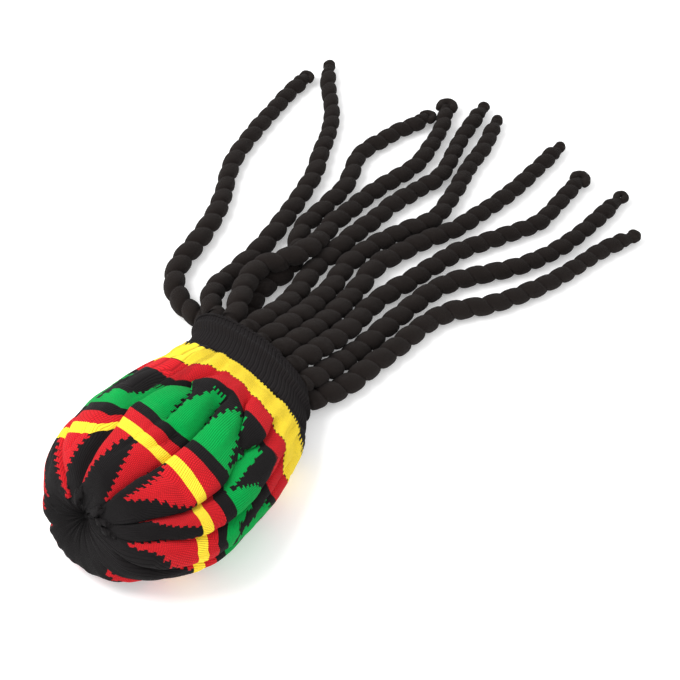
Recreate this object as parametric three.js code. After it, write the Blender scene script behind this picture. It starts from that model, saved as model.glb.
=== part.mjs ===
// Knitted slouch beret with ten rope locks, lying on its side on a table.
// Units are millimetres and +Z is up. The gather of the crown faces -Y and the cuff opens toward +Y.
import * as THREE from 'three';

// Knitted walls
const WALL = 3;
const FACETS_ROUND = 64;
const ROWS_PER_SECTION = 2;
const SEAM_GAP = 0.3;

// Moves the middle of the cap's own box, without its locks, over the origin
const CAP_SHIFT = new THREE.Vector3(1.27, 5.22, 0);

// The inner skin starts this many rows from the gather. Fabric bunched there is this much thicker
// than a wall, and thins out to it over the given reach.
const INNER_START = 2;
const BUNCH = { depth: 6, reach: 74 };

// Cap sections, from the gather to the seam with the cuff. A section is an oval in a plane that
// leans by the given degrees, its top toward +Y. Reach is the length of fabric from the gather.
const CAP_COLUMNS = ['reach', 'x', 'y', 'z', 'halfWidth', 'halfHeight', 'lean'];
const CAP_SECTIONS = table(CAP_COLUMNS, [
  [0, 0, -124, 62, 3, 3, 36],
  [14, 0, -133, 61, 16, 13, 36],
  [34, 0, -138, 59, 36, 28, 34],
  [60, 1, -137, 57, 57, 43, 28],
  [88, 2, -126, 56, 76, 52, 20],
  [118, 4, -105, 56, 93, 57, 12],
  [156, 7, -73, 56, 107, 60, 6],
  [196, 6, -34, 55, 112, 59, 2],
  [236, 2, 5, 51, 108, 55, 0],
  [274, -2, 40, 45, 102, 49, 4],
  [306, -8, 67, 39, 95, 43, 8],
  [330, -13, 86, 34, 90, 37, 12],
  [344, -17, 98, 31, 88, 33, 14],
]);

// Cuff sections, from the seam to the hem, with a raised welt before the hem
const CUFF_SECTIONS = table(CAP_COLUMNS, [
  [0, -17, 98.4, 31, 86, 32, 14],
  [9, -20, 106, 30, 84, 31, 17],
  [20, -26, 115, 29, 82, 31, 20],
  [28, -30, 121, 29, 84, 33, 22],
  [36, -34, 127, 29, 82, 32, 24],
  [44, -39, 133, 29, 81, 33, 26],
]);

// Folds of the slack crown. Each is a crease that runs from one reach to another along the angle
// given at its two ends, counted from +X over the top, and fades over its ends.
const FOLDS = table(['fromReach', 'toReach', 'fromAngle', 'toAngle', 'depth', 'spread'], [
  [30, 190, 150, 156, 9, 15],
  [30, 225, 117, 122, 15, 16],
  [36, 230, 96, 80, 15, 16],
  [30, 245, 62, 50, 13, 15],
  [40, 240, 34, 23, 10, 13],
  [40, 230, 350, 352, 8, 14],
  [40, 230, 188, 188, 8, 14],
  [200, 315, 128, 112, 8, 12],
  [205, 315, 102, 92, 7, 10],
  [205, 315, 76, 70, 8, 10],
  [220, 315, 50, 46, 6, 10],
  [200, 315, 24, 24, 6, 12],
]);
const FOLD_FADE = 34;

// Pleats drawn in at the gather, and ripples where the crown is gathered on to the cuff
const PLEATS = { count: 16, depth: 2.6, middleReach: 30, span: 62 };
const RIPPLES = { count: 16, depth: 1.8, middleReach: 312, span: 34 };

// Rope locks: a doubled twisted roll of jersey, drawn at its outer diameter
const LOCK_RADIUS = 10;
const LOCK_SIDES = 8;
const STEP_LENGTH = 22;

// Each route runs from the hem of the cuff to the folded end, down to the table and along it
const LOCK_ROUTES = [
  [
    [-112, 129.8, 21.7], [-112, 138, 17.8], [-124, 144, 14], [-142, 145, 11], [-159, 148, 10],
    [-177, 156, 10], [-192, 170, 10], [-202, 191, 10], [-207, 214, 10], [-214, 240, 10],
    [-224, 268, 10], [-240, 297, 10], [-257, 322, 10], [-270, 349, 10], [-278, 378, 10],
    [-285, 409, 10], [-290, 438, 10], [-295, 467, 10], [-297, 494, 10],
  ],
  [
    [-104, 138.7, 40], [-104, 146, 36.4], [-122, 157, 30], [-136, 173, 23], [-143, 193, 16],
    [-145, 212, 11], [-147, 234, 10], [-149, 256, 10], [-153, 282, 10], [-160, 311, 10],
    [-166, 336, 10], [-174, 362, 10], [-183, 388, 10], [-198, 414, 10], [-214, 446, 10],
    [-232, 472, 10], [-252, 491, 10], [-271, 508, 10], [-284, 524, 10],
  ],
  [
    [-60, 114, 14.4], [-63, 130, 14], [-75, 151, 11.5], [-90, 177, 10], [-101, 197, 10],
    [-107, 216, 10], [-108, 236, 10], [-106, 257, 10], [-112, 279, 10], [-127, 299, 10],
    [-136, 318, 10], [-138, 344, 10], [-140, 370, 10], [-142, 393, 10], [-151, 416, 10],
    [-162, 438, 10], [-164, 460, 10], [-160, 481, 10], [-156, 505, 10], [-149, 524, 10],
    [-146, 540, 10],
  ],
  [
    [-84, 142.3, 47.4], [-84, 150, 43.7], [-92, 166, 41], [-103, 184, 38], [-115, 207, 33],
    [-119, 232, 31.5], [-109, 252, 31.5], [-102, 271, 31.5], [-101, 293, 27], [-108, 320, 14],
    [-115, 344, 10], [-114, 368, 10], [-114, 400, 10], [-111, 430, 10], [-106, 456, 10],
    [-105, 483, 10], [-110, 505, 10], [-116, 526, 10], [-124, 548, 10], [-136, 568, 10],
  ],
  [
    [-62, 144.1, 51.1], [-62, 152, 47.2], [-60, 175, 42], [-60, 200, 34], [-66, 224, 25],
    [-73, 246, 18], [-81, 268, 13], [-86, 290, 10], [-85, 311, 10], [-86, 332, 10],
    [-86, 353, 10], [-84, 380, 10], [-84, 411, 10], [-80, 434, 10], [-77, 453, 10],
    [-73, 472, 10], [-75, 493, 10], [-84, 519, 10], [-93, 545, 10], [-99, 570, 10],
    [-104, 593, 10],
  ],
  [
    [-40, 144.7, 52.3], [-40, 152, 48.7], [-37, 175, 43], [-38, 200, 36], [-41, 223, 28],
    [-46, 247, 20], [-50, 270, 14], [-58, 292, 10], [-62, 313, 10], [-61, 335, 10],
    [-58, 355, 10], [-52, 375, 10], [-46, 394, 10], [-38, 413, 10], [-35, 433, 10],
    [-40, 457, 10], [-46, 481, 10], [-53, 502, 10], [-59, 524, 10], [-63, 547, 10],
    [-77, 587, 10],
  ],
  [
    [-18, 144.2, 51.3], [-18, 152, 47.4], [-15, 175, 41], [-16.5, 200, 33], [-18.5, 222, 25],
    [-21.5, 247, 18], [-27, 274, 12], [-31, 297, 10], [-36, 318, 10], [-36, 338, 10],
    [-31, 359, 10], [-26, 379, 10], [-20, 399, 10], [-12, 418, 10], [-6, 436, 10],
    [-3, 458, 10], [0, 480, 10], [3, 505, 10], [4, 535, 10], [3, 565, 10], [2, 602, 10],
  ],
  [
    [4, 142.6, 48], [4, 150, 44.4], [6, 173, 39], [5.5, 199, 31], [5, 222, 24],
    [3, 246, 17], [-1, 268, 12], [-3, 289, 10], [-1, 311, 10], [4, 334, 10],
    [8, 361, 10], [12, 384, 10], [17, 407, 10], [25, 428, 10], [36, 452, 10],
    [47, 477, 10], [56, 500, 10], [56, 522, 10], [54, 545, 10], [51, 580, 10],
  ],
  [
    [24, 139.3, 41.1], [24, 147, 37.3], [26, 168, 28], [27, 190, 20], [27, 212, 13.5],
    [28, 234, 10], [28, 255, 10], [28, 275, 10], [29, 298, 10], [30, 322, 10],
    [34, 350, 10], [42, 372, 10], [54, 393, 10], [68, 415, 10], [82, 440, 10],
    [91, 464, 10], [98, 491, 10], [101, 521, 10], [102, 551, 10], [102, 582, 10],
  ],
  [
    [34, 130.7, 23.5], [34, 138.5, 19.7], [41, 157, 14], [47, 176, 11], [50, 196, 10],
    [51, 219, 10], [53, 243, 10], [55, 268, 10], [56, 292, 10], [59, 316, 10],
    [67, 336, 10], [79, 354, 10], [90, 369, 10], [99, 387, 10], [108, 408, 10],
    [116, 429, 10], [122, 451, 10], [127, 475, 10], [131, 500, 10], [136, 523, 10],
    [145, 548, 10],
  ],
];

// The fold at the end of a lock is drawn into a knob. Profile columns: radius share, length share.
const TIP_LENGTH = 13;
const TIP_PROFILE = [[0, 0], [0.72, 0], [1, 0.3], [0.95, 0.66], [0.55, 0.95], [0, 1]];
const TIP_RADII = [8, 8.5, 8, 9.6, 7, 7.2, 6.8, 9, 8.2, 7];

const crownFinish = new THREE.MeshStandardMaterial({ color: 0xc4202a, roughness: 0.9, metalness: 0 });
const cuffFinish = new THREE.MeshStandardMaterial({ color: 0x1c1a1b, roughness: 0.95, metalness: 0 });
const lockFinish = new THREE.MeshStandardMaterial({ color: 0x2a2523, roughness: 0.95, metalness: 0 });

// Turn rows of numbers into rows with named columns
function table(columns, rows) {
  return rows.map((row) => Object.fromEntries(columns.map((name, i) => [name, row[i]])));
}

// A row between two rows of a table, on a smooth curve through all of them
function between(rows, position) {
  const last = rows.length - 1;
  const i = Math.min(Math.floor(position), last - 1);
  const t = position - i;
  const near = [i - 1, i, i + 1, i + 2].map((k) => rows[THREE.MathUtils.clamp(k, 0, last)]);
  const mixed = {};
  for (const name of Object.keys(rows[0])) {
    const [a, b, c, d] = near.map((row) => row[name]);
    mixed[name] = b + 0.5 * t * (c - a + t * (2 * a - 5 * b + 4 * c - d + t * (3 * (b - c) + d - a)));
  }
  return mixed;
}

// 1 at the middle of a span and 0 at its ends, smooth
function swell(value, middle, span) {
  return THREE.MathUtils.smoothstep(1 - Math.abs(value - middle) / span, 0, 1);
}

// How far the folds pull the fabric in at a reach and an angle in degrees
function foldDepth(reach, angle) {
  let depth = 0;
  for (const fold of FOLDS) {
    const along = (reach - fold.fromReach) / (fold.toReach - fold.fromReach);
    const course = THREE.MathUtils.lerp(fold.fromAngle, fold.toAngle, along);
    const aside = Math.abs(THREE.MathUtils.euclideanModulo(angle - course + 180, 360) - 180);
    const share = Math.max(0, 1 - aside / fold.spread);
    const start = THREE.MathUtils.smoothstep(reach, fold.fromReach, fold.fromReach + FOLD_FADE);
    const end = 1 - THREE.MathUtils.smoothstep(reach, fold.toReach - FOLD_FADE, fold.toReach);
    depth += fold.depth * share * share * start * end;
  }
  return depth;
}

// Small regular waves in the outer skin, as high as they are deep
function waveDepth(reach, angle) {
  const turn = THREE.MathUtils.degToRad(angle);
  const pleats = PLEATS.depth * swell(reach, PLEATS.middleReach, PLEATS.span);
  const ripples = RIPPLES.depth * swell(reach, RIPPLES.middleReach, RIPPLES.span);
  return pleats * Math.cos(PLEATS.count * turn) + ripples * Math.cos(RIPPLES.count * turn);
}

// A point of a section pulled in by some depth, and no lower than the given floor
function sectionPoint(section, angle, depth, floor) {
  const turn = THREE.MathUtils.degToRad(angle);
  const lean = THREE.MathUtils.degToRad(section.lean);
  const share = 1 - Math.min(0.9, depth / Math.max(section.halfWidth, section.halfHeight));
  const across = Math.max(section.halfWidth * share, 0.5) * Math.cos(turn);
  const up = Math.max(section.halfHeight - depth, 0.5) * Math.sin(turn);
  const x = section.x + across;
  const y = section.y + up * Math.sin(lean);
  const z = section.z + up * Math.cos(lean);
  return new THREE.Vector3(x, y, Math.max(z, floor));
}

// How far the inner skin stands back from the outer one along the crown's own axis
function bunchStep(section) {
  const lean = THREE.MathUtils.degToRad(section.lean);
  const share = THREE.MathUtils.smoothstep(BUNCH.reach - section.reach, 0, BUNCH.reach);
  const depth = (WALL + BUNCH.depth) * share;
  return new THREE.Vector3(0, depth * Math.cos(lean), -depth * Math.sin(lean));
}

// One ring of the crown, its outer side or the inner side a wall thickness further in
function crownLoop(section, inner) {
  const step = inner ? bunchStep(section) : new THREE.Vector3();
  const points = [];
  for (let k = 0; k < FACETS_ROUND; k += 1) {
    const angle = (360 * k) / FACETS_ROUND;
    const folds = foldDepth(section.reach, angle);
    const depth = inner ? folds + WALL : folds + waveDepth(section.reach, angle);
    points.push(sectionPoint(section, angle, depth, inner ? WALL : 0).add(step));
  }
  return points;
}

function cuffLoop(section, inner) {
  const points = [];
  for (let k = 0; k < FACETS_ROUND; k += 1) {
    const angle = (360 * k) / FACETS_ROUND;
    points.push(sectionPoint(section, angle, inner ? WALL : 0, inner ? WALL : 0));
  }
  return points;
}

// Join loops of equal length into one closed body: round on themselves, or with both ends capped
function bodyOf(loops, round) {
  const count = loops[0].length;
  const positions = loops.flat().flatMap((p) => [p.x, p.y, p.z]);
  const faces = [];
  const steps = round ? loops.length : loops.length - 1;
  for (let i = 0; i < steps; i += 1) {
    const near = i * count;
    const far = ((i + 1) % loops.length) * count;
    for (let k = 0; k < count; k += 1) {
      const next = (k + 1) % count;
      faces.push(near + k, far + k, near + next, near + next, far + k, far + next);
    }
  }
  if (!round) {
    faces.push(...fan(positions, loops[0], 0, false));
    faces.push(...fan(positions, loops[loops.length - 1], (loops.length - 1) * count, true));
  }
  const geometry = new THREE.BufferGeometry();
  geometry.setAttribute('position', new THREE.Float32BufferAttribute(positions, 3));
  geometry.setIndex(faces);
  return geometry;
}

// The faces that close a loop, round a new point at its centre
function fan(positions, loop, first, turned) {
  const centre = loop.reduce((sum, p) => sum.add(p), new THREE.Vector3()).divideScalar(loop.length);
  const hub = positions.length / 3;
  positions.push(centre.x, centre.y, centre.z);
  const faces = [];
  for (let k = 0; k < loop.length; k += 1) {
    const here = first + k;
    const next = first + ((k + 1) % loop.length);
    faces.push(hub, turned ? next : here, turned ? here : next);
  }
  return faces;
}

// All rows of a section table, with the rows between them
function rowsOf(sections) {
  const last = (sections.length - 1) * ROWS_PER_SECTION;
  return Array.from({ length: last + 1 }, (_, i) => between(sections, i / ROWS_PER_SECTION));
}

// The crown is a bag: its outer skin runs from the gather to the seam and its inner skin back
function crownGeometry() {
  const rows = rowsOf(CAP_SECTIONS);
  const outer = rows.map((row) => crownLoop(row, false));
  const inner = rows.slice(INNER_START).map((row) => crownLoop(row, true));
  return bodyOf([...outer, ...inner.reverse()], false);
}

// The cuff is a ring open at both ends
function cuffGeometry() {
  const outer = CUFF_SECTIONS.map((row) => cuffLoop(row, false));
  const inner = CUFF_SECTIONS.map((row) => cuffLoop(row, true));
  return bodyOf([...outer, ...inner.reverse()], true);
}

// A smooth route that never sinks into the table
class Route extends THREE.CatmullRomCurve3 {
  getPoint(t, target) {
    const point = super.getPoint(t, target);
    point.z = Math.max(point.z, LOCK_RADIUS);
    return point;
  }
}

function lockGeometry(route) {
  const section = new THREE.Shape();
  section.absarc(0, 0, LOCK_RADIUS, 0, 2 * Math.PI);
  const steps = Math.round(route.getLength() / STEP_LENGTH);
  const curveSegments = LOCK_SIDES / 2;
  return new THREE.ExtrudeGeometry(section, { steps, curveSegments, extrudePath: route });
}

function tipGeometry(radius) {
  const profile = TIP_PROFILE.map(([out, along]) => new THREE.Vector2(out * radius, along * TIP_LENGTH));
  return new THREE.LatheGeometry(profile, LOCK_SIDES);
}

const part = new THREE.Group();
part.position.copy(CAP_SHIFT);

function addPiece(name, geometry, finish) {
  const mesh = new THREE.Mesh(geometry, finish);
  mesh.name = name;
  part.add(mesh);
  return mesh;
}

// Stand a tip on the end face of its lock
function addTip(name, route, radius) {
  const tip = addPiece(name, tipGeometry(radius), lockFinish);
  const direction = route.getTangent(1);
  tip.position.copy(route.getPoint(1)).addScaledVector(direction, SEAM_GAP);
  tip.quaternion.setFromUnitVectors(new THREE.Vector3(0, 1, 0), direction);
}

addPiece('crown', crownGeometry(), crownFinish);
addPiece('cuff', cuffGeometry(), cuffFinish);
LOCK_ROUTES.forEach((points, i) => {
  const route = new Route(points.map(([x, y, z]) => new THREE.Vector3(x, y, z)));
  const name = `lock_${String(i + 1).padStart(2, '0')}`;
  addPiece(name, lockGeometry(route), lockFinish);
  addTip(`${name}_tip`, route, TIP_RADII[i]);
});

export default part;
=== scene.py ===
"""Knitted slouch beret with ten rope locks, lying on its side on a pale table.

Pieces are in metres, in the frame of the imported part. The tables of the cap and of the locks hold the
millimetres of the part's own sections and routes, which this script repeats. Only the gather, at the
crown's first four sections, is moved by up to 14 mm, to where the fabric bunches.
"""

import logging
import math
from bisect import bisect_right
from collections.abc import Callable, Sequence
from dataclasses import dataclass, field
from enum import Enum

import bmesh
import bpy
from mathutils import Matrix, Vector, noise


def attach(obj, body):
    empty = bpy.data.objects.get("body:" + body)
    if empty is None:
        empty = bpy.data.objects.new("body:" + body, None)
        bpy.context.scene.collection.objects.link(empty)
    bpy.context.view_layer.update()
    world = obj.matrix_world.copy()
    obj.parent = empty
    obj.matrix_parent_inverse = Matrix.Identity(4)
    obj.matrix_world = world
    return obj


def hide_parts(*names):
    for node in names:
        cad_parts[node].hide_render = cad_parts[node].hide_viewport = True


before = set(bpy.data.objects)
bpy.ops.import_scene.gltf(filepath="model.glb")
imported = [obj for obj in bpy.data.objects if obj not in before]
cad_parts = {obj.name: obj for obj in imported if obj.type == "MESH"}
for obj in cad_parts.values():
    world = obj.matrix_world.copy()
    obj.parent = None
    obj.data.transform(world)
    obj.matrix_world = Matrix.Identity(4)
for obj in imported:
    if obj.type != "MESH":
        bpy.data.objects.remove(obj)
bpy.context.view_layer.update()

LOG = logging.getLogger("beret")
MM = 0.001
TINY = 1e-6

# From the origin of the tables to the part's own, in millimetres
CAP_SHIFT = Vector((1.27, 5.22, 0.0))


# Numbers and curves


def smooth(value: float, low: float, high: float) -> float:
    """Rise smoothly from 0 at low to 1 at high."""
    share = min(max((value - low) / (high - low), 0.0), 1.0)
    return share * share * (3.0 - 2.0 * share)


def read_off(knots: Sequence[tuple[float, float]], at: float) -> float:
    """Read a value off a table by straight lines between its knots.

    Args:
        knots: pairs of place and value, in rising order of place.
        at: the place to read.

    Returns:
        The value there, or that of the nearest end.
    """
    places = [place for place, _ in knots]
    i = min(max(bisect_right(places, at) - 1, 0), len(knots) - 2)
    (low, first), (high, last) = knots[i], knots[i + 1]
    share = min(max((at - low) / (high - low), 0.0), 1.0)
    return first + (last - first) * share


def read_round(knots: Sequence[tuple[float, float]], angle: float) -> float:
    """Read a value off a table of angles that closes on itself after 360 degrees.

    Args:
        knots: pairs of angle and value, in rising order of angle.
        angle: the angle to read, in degrees.

    Returns:
        The value there.
    """
    turned = knots[0][0] + (angle - knots[0][0]) % 360.0
    return read_off([*knots, (knots[0][0] + 360.0, knots[0][1])], turned)


def wander(x: float, y: float, z: float, seed: int) -> float:
    """A smooth random number from -1 to 1, the same on every run."""
    return noise.noise(Vector((x, y, z + 17.31 * seed)))


# Shader sockets


class Value:
    """The output of a shader node, so that sums of outputs are written as sums."""

    def __init__(self, tree: "Dyebath", socket: bpy.types.NodeSocket) -> None:
        """Keep the tree that the socket belongs to."""
        self.tree = tree
        self.socket = socket

    def math(self, operation: str, *others: "Value | float") -> "Value":
        """Put this value first into a Math node.

        Args:
            operation: the node's operation.
            others: the values of its other sockets.

        Returns:
            The node's result.
        """
        return self.tree.node("ShaderNodeMath", {"operation": operation}, [self, *others])

    def __add__(self, other: "Value | float") -> "Value":
        """self + other"""
        return self.math("ADD", other)

    def __radd__(self, other: float) -> "Value":
        """other + self"""
        return self.math("ADD", other)

    def __sub__(self, other: "Value | float") -> "Value":
        """self - other"""
        return self.math("SUBTRACT", other)

    def __rsub__(self, other: float) -> "Value":
        """other - self"""
        return self.tree.node("ShaderNodeMath", {"operation": "SUBTRACT"}, [other, self])

    def __mul__(self, other: "Value | float") -> "Value":
        """self * other"""
        return self.math("MULTIPLY", other)

    def __rmul__(self, other: float) -> "Value":
        """other * self"""
        return self.math("MULTIPLY", other)

    def __truediv__(self, other: "Value | float") -> "Value":
        """self / other"""
        return self.math("DIVIDE", other)

    def __rtruediv__(self, other: float) -> "Value":
        """other / self"""
        return self.tree.node("ShaderNodeMath", {"operation": "DIVIDE"}, [other, self])

    def above(self, other: "Value | float") -> "Value":
        """1 where this value is the greater, otherwise 0."""
        return self.math("GREATER_THAN", other)

    def below(self, other: "Value | float") -> "Value":
        """1 where this value is the smaller, otherwise 0."""
        return self.math("LESS_THAN", other)

    def between(self, low: float, high: float) -> "Value":
        """1 where this value is between two numbers, otherwise 0."""
        return self.above(low) * self.below(high)

    def rise(self, low: float, high: float) -> "Value":
        """Rise smoothly from 0 at low to 1 at high."""
        span = {"Value": self, "From Min": low, "From Max": high}
        return self.tree.node("ShaderNodeMapRange", {"interpolation_type": "SMOOTHSTEP"}, span)


@dataclass(frozen=True)
class Stitches:
    """Where each point of a knit is among its stitches.

    The wale and the course are counted across and along the fabric. Aside is how far a point is from
    the middle of its wale, up to a half, and in_course is its share of its course. Crown and rows are
    the heights of the stitch over its wale and over its course.
    """

    wale: Value
    course: Value
    aside: Value
    in_course: Value
    crown: Value
    rows: Value


class Dyebath:
    """The shader of one finish, built node by node."""

    specular = 0.08
    sheen_roughness = 0.5
    cloud_detail = 2.0

    def __init__(self, name: str) -> None:
        """Start a material with its shader and no other node.

        Args:
            name: the material's name.
        """
        self.material = bpy.data.materials.new(name)
        self.material.use_nodes = True
        self.nodes = self.material.node_tree.nodes
        self.links = self.material.node_tree.links
        self.shader = self.nodes["Principled BSDF"]

    def node(
        self,
        kind: str,
        settings: dict[str, object] | None = None,
        inputs: "dict[str | int, object] | list[object] | None" = None,
        output: str | int = 0,
    ) -> Value:
        """Add a node.

        Args:
            kind: the node's type.
            settings: its properties, set before its sockets are filled.
            inputs: values or links, by socket name or in the order of the sockets.
            output: the name or number of the output that is wanted.

        Returns:
            That output.
        """
        made = self.nodes.new(kind)
        for key, value in (settings or {}).items():
            setattr(made, key, value)
        pairs = enumerate(inputs) if isinstance(inputs, list) else (inputs or {}).items()
        for key, value in pairs:
            if isinstance(value, Value):
                self.links.new(value.socket, made.inputs[key])
            else:
                made.inputs[key].default_value = value
        return Value(self, made.outputs[output])

    def mix(self, share: Value, first: object, second: object) -> Value:
        """Mix two colours.

        Args:
            share: how much of the second colour there is.
            first: a colour or a link to one.
            second: a colour or a link to one.

        Returns:
            The mixed colour.
        """
        return self.node("ShaderNodeMix", {"data_type": "RGBA"}, {0: share, 6: first, 7: second}, 2)

    def speck(self, place: Value, scale: float) -> Value:
        """Cloudy noise from 0 to 1 at a place."""
        cloud = {"Vector": place, "Scale": scale, "Detail": self.cloud_detail}
        return self.node("ShaderNodeTexNoise", None, cloud)

    def object_place(self) -> Value:
        """The point of the surface in the part's frame."""
        return self.node("ShaderNodeTexCoord", output="Object")

    def across_and_along(self) -> tuple[Value, Value]:
        """Read the piece's own map of its fabric.

        Returns:
            The coordinate across the fabric and the one along it.
        """
        place = self.node("ShaderNodeUVMap", {"uv_map": "fabric"})
        across = self.node("ShaderNodeSeparateXYZ", None, [place], 0)
        return across, Value(self, across.socket.node.outputs[1])

    def stitches(self, wale: Value, course: Value, slant: float, roundness: float) -> Stitches:
        """Lay out the stitches of a knit.

        Args:
            wale: how many stitches a point is across the fabric.
            course: how many it is along it, in the middle of a wale.
            slant: how far a stitch's legs run on beside its middle, in courses for a whole wale.
            roundness: the power that flattens a stitch's crown, 2 for a round one.

        Returns:
            The stitches.
        """
        aside = (wale.math("FRACT") - 0.5).math("ABSOLUTE")
        course = course + aside * slant
        in_course = course.math("FRACT")
        crown = 1.0 - (aside * 2.0).math("POWER", roundness)
        rows = 1.0 - (in_course * 2.0 - 1.0).math("POWER", 2.0)
        return Stitches(wale, course, aside, in_course, crown, rows)

    def finish(
        self, colour: object, rough: object, height: Value, depth: float, sheen: float
    ) -> bpy.types.Material:
        """Feed the shader.

        Args:
            colour: the base colour or a link to it.
            rough: the roughness or a link to it.
            height: the height of the surface's relief, from 0 to 1.
            depth: how deep the relief is, in metres.
            sheen: how much the fibres at the edge catch the light.

        Returns:
            The finished material.
        """
        bump = self.node("ShaderNodeBump", None, {"Strength": 1.0, "Distance": depth, "Height": height})
        for name, value in (("Base Color", colour), ("Roughness", rough), ("Normal", bump)):
            if isinstance(value, Value):
                self.links.new(value.socket, self.shader.inputs[name])
            else:
                self.shader.inputs[name].default_value = value
        self.shader.inputs["Specular IOR Level"].default_value = self.specular
        self.shader.inputs["Sheen Weight"].default_value = sheen
        self.shader.inputs["Sheen Roughness"].default_value = self.sheen_roughness
        return self.material


# Finishes

Colour = tuple[float, float, float, float]


@dataclass(frozen=True)
class Relief:
    """What a knit's height is made of: shares of stitch, row and fibre, and its depth in metres."""

    crown: float
    rows: float
    fuzz: float
    depth: float


@dataclass(frozen=True)
class JacquardFinish:
    """Four-colour knit: a black star, a yellow and a red ring, green steps, and two rings at the cuff.

    Places along the fabric are in millimetres from the gather. A repeat of the pattern has the same
    number of wales everywhere, and each slanted edge climbs by steps of whole wales and courses.
    """

    black: Colour = (0.0095, 0.0082, 0.0086, 1.0)
    red: Colour = (0.62, 0.014, 0.021, 1.0)
    dark_red: Colour = (0.27, 0.008, 0.010, 1.0)
    yellow: Colour = (1.0, 0.74, 0.045, 1.0)
    green: Colour = (0.0, 0.35, 0.062, 1.0)
    length: float = 344.0
    repeats: int = 13
    wales: int = 28
    course: float = 1.4
    slant: float = 1.1
    roundness: float = 3.0
    barb: float = 1.9
    star_from: float = 74.0
    star_step: float = 10.4
    star_start: float = 0.6
    star_tooth: float = 1.1
    star_to: float = 165.0
    ring_red: float = 180.0
    ring_to: float = 197.0
    leaf_from: float = 213.0
    leaf_to: float = 277.0
    leaf_step: float = 9.6
    leaf_start: float = 5.2
    leaf_tooth: float = 1.25
    leaf_notch: float = 3.0
    hem_red: float = 284.0
    hem_yellow: float = 307.0
    hem_to: float = 341.5
    hem_notch: float = 2.2
    eyelet: float = 0.8
    eyelet_size: tuple[float, float] = (0.3, 0.5)
    # Painted shade, darker between stitches and lighter on their crowns; fuzz and worn add random tone
    least_painted_shade: float = 0.41
    crown_painted_shade: float = 0.6
    row_painted_shade: float = 0.14
    fuzz_shade: float = 0.5
    worn_shade: float = 0.2
    fuzz_scale: float = 900.0
    worn_scale: float = 28.0
    relief: Relief = Relief(0.65, 0.2, 0.25, 0.0007)
    roughness: float = 0.95
    smoothness: float = 0.12
    sheen: float = 0.035

    def build(self) -> bpy.types.Material:
        """Build the knit.

        Returns:
            The material.
        """
        bath = Dyebath("jacquard_knit")
        across, along = bath.across_and_along()
        wale = across * float(self.repeats * self.wales)
        knit = bath.stitches(wale, along * (self.length / self.course), self.slant, self.roundness)
        colour = self.pattern(bath, knit)
        place = bath.object_place()
        fuzz = bath.speck(place, self.fuzz_scale)
        worn = bath.speck(place, self.worn_scale)
        # Painted shade in the hollows between stitches, with random tone from fuzz and wear on top
        shade = knit.crown * self.crown_painted_shade + knit.rows * self.row_painted_shade + self.least_painted_shade
        shade = shade + (fuzz - 0.5) * self.fuzz_shade + (worn - 0.5) * self.worn_shade
        tone = bath.node("ShaderNodeCombineColor", None, [shade, shade, shade])
        settings = {"data_type": "RGBA", "blend_type": "MULTIPLY"}
        colour = bath.node("ShaderNodeMix", settings, {0: 1.0, 6: colour, 7: tone}, 2)
        height = knit.crown * self.relief.crown + knit.rows * self.relief.rows
        rough = self.roughness - height * self.smoothness
        return bath.finish(colour, rough, height + fuzz * self.relief.fuzz, self.relief.depth, self.sheen)

    def pattern(self, bath: Dyebath, knit: Stitches) -> Value:
        """Give each stitch its yarn.

        Args:
            bath: the shader.
            knit: its stitches.

        Returns:
            The colour of the yarn.
        """
        wale, course = knit.wale.math("FLOOR"), knit.course.math("FLOOR")
        reach = (course + 0.5) * self.course
        column = (wale + 0.5).math("FLOORED_MODULO", float(self.wales))
        from_middle = (column - self.wales / 2).math("ABSOLUTE")
        star = (reach - self.star_from) / self.star_step
        star = self.teeth(from_middle, star, self.star_start, self.star_tooth)
        leaf = (self.leaf_to - reach) / self.leaf_step
        leaf = self.teeth(from_middle, leaf, self.leaf_start, self.leaf_tooth)
        notch = (knit.wale * 0.5).math("FLOOR").math("FLOORED_MODULO", 2.0) * self.course
        leaf = leaf * (reach + notch * self.leaf_notch).below(self.leaf_to)
        in_green = leaf * reach.between(self.leaf_from, self.hem_red)
        hem = (reach - notch).above(self.hem_yellow) * (reach + notch * self.hem_notch).below(self.hem_to)
        in_yellow = reach.between(self.star_to, self.ring_red) + hem
        in_red = star * reach.below(self.star_to) + reach.between(self.ring_red, self.ring_to)
        in_red = in_red + reach.between(self.hem_red, self.hem_yellow)
        pair = (wale + course).math("FLOORED_MODULO", 2.0)
        wide, long = self.eyelet_size
        eyelet = pair * knit.in_course.below(long) * knit.aside.below(wide)
        red = bath.mix(eyelet * self.eyelet, self.red, self.dark_red)
        colour = bath.mix(in_red, self.black, red)
        colour = bath.mix(in_green, colour, self.green)
        return bath.mix(in_yellow, colour, self.yellow)

    def teeth(self, from_middle: Value, steps: Value, start: float, tooth: float) -> Value:
        """A barbed triangle that widens by whole wales, with each tooth's tip toward its apex.

        Args:
            from_middle: how many wales a stitch is from the triangle's middle.
            steps: how many teeth it is from the triangle's apex.
            start: half the triangle's width at its apex, in wales.
            tooth: how many wales each tooth adds to half the width.

        Returns:
            1 inside the triangle and 0 outside it.
        """
        barb = (1.0 - steps.math("FRACT")) * self.barb
        half = steps.math("FLOOR") * tooth + barb + start
        return from_middle.below(half) * steps.above(0.0)


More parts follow.
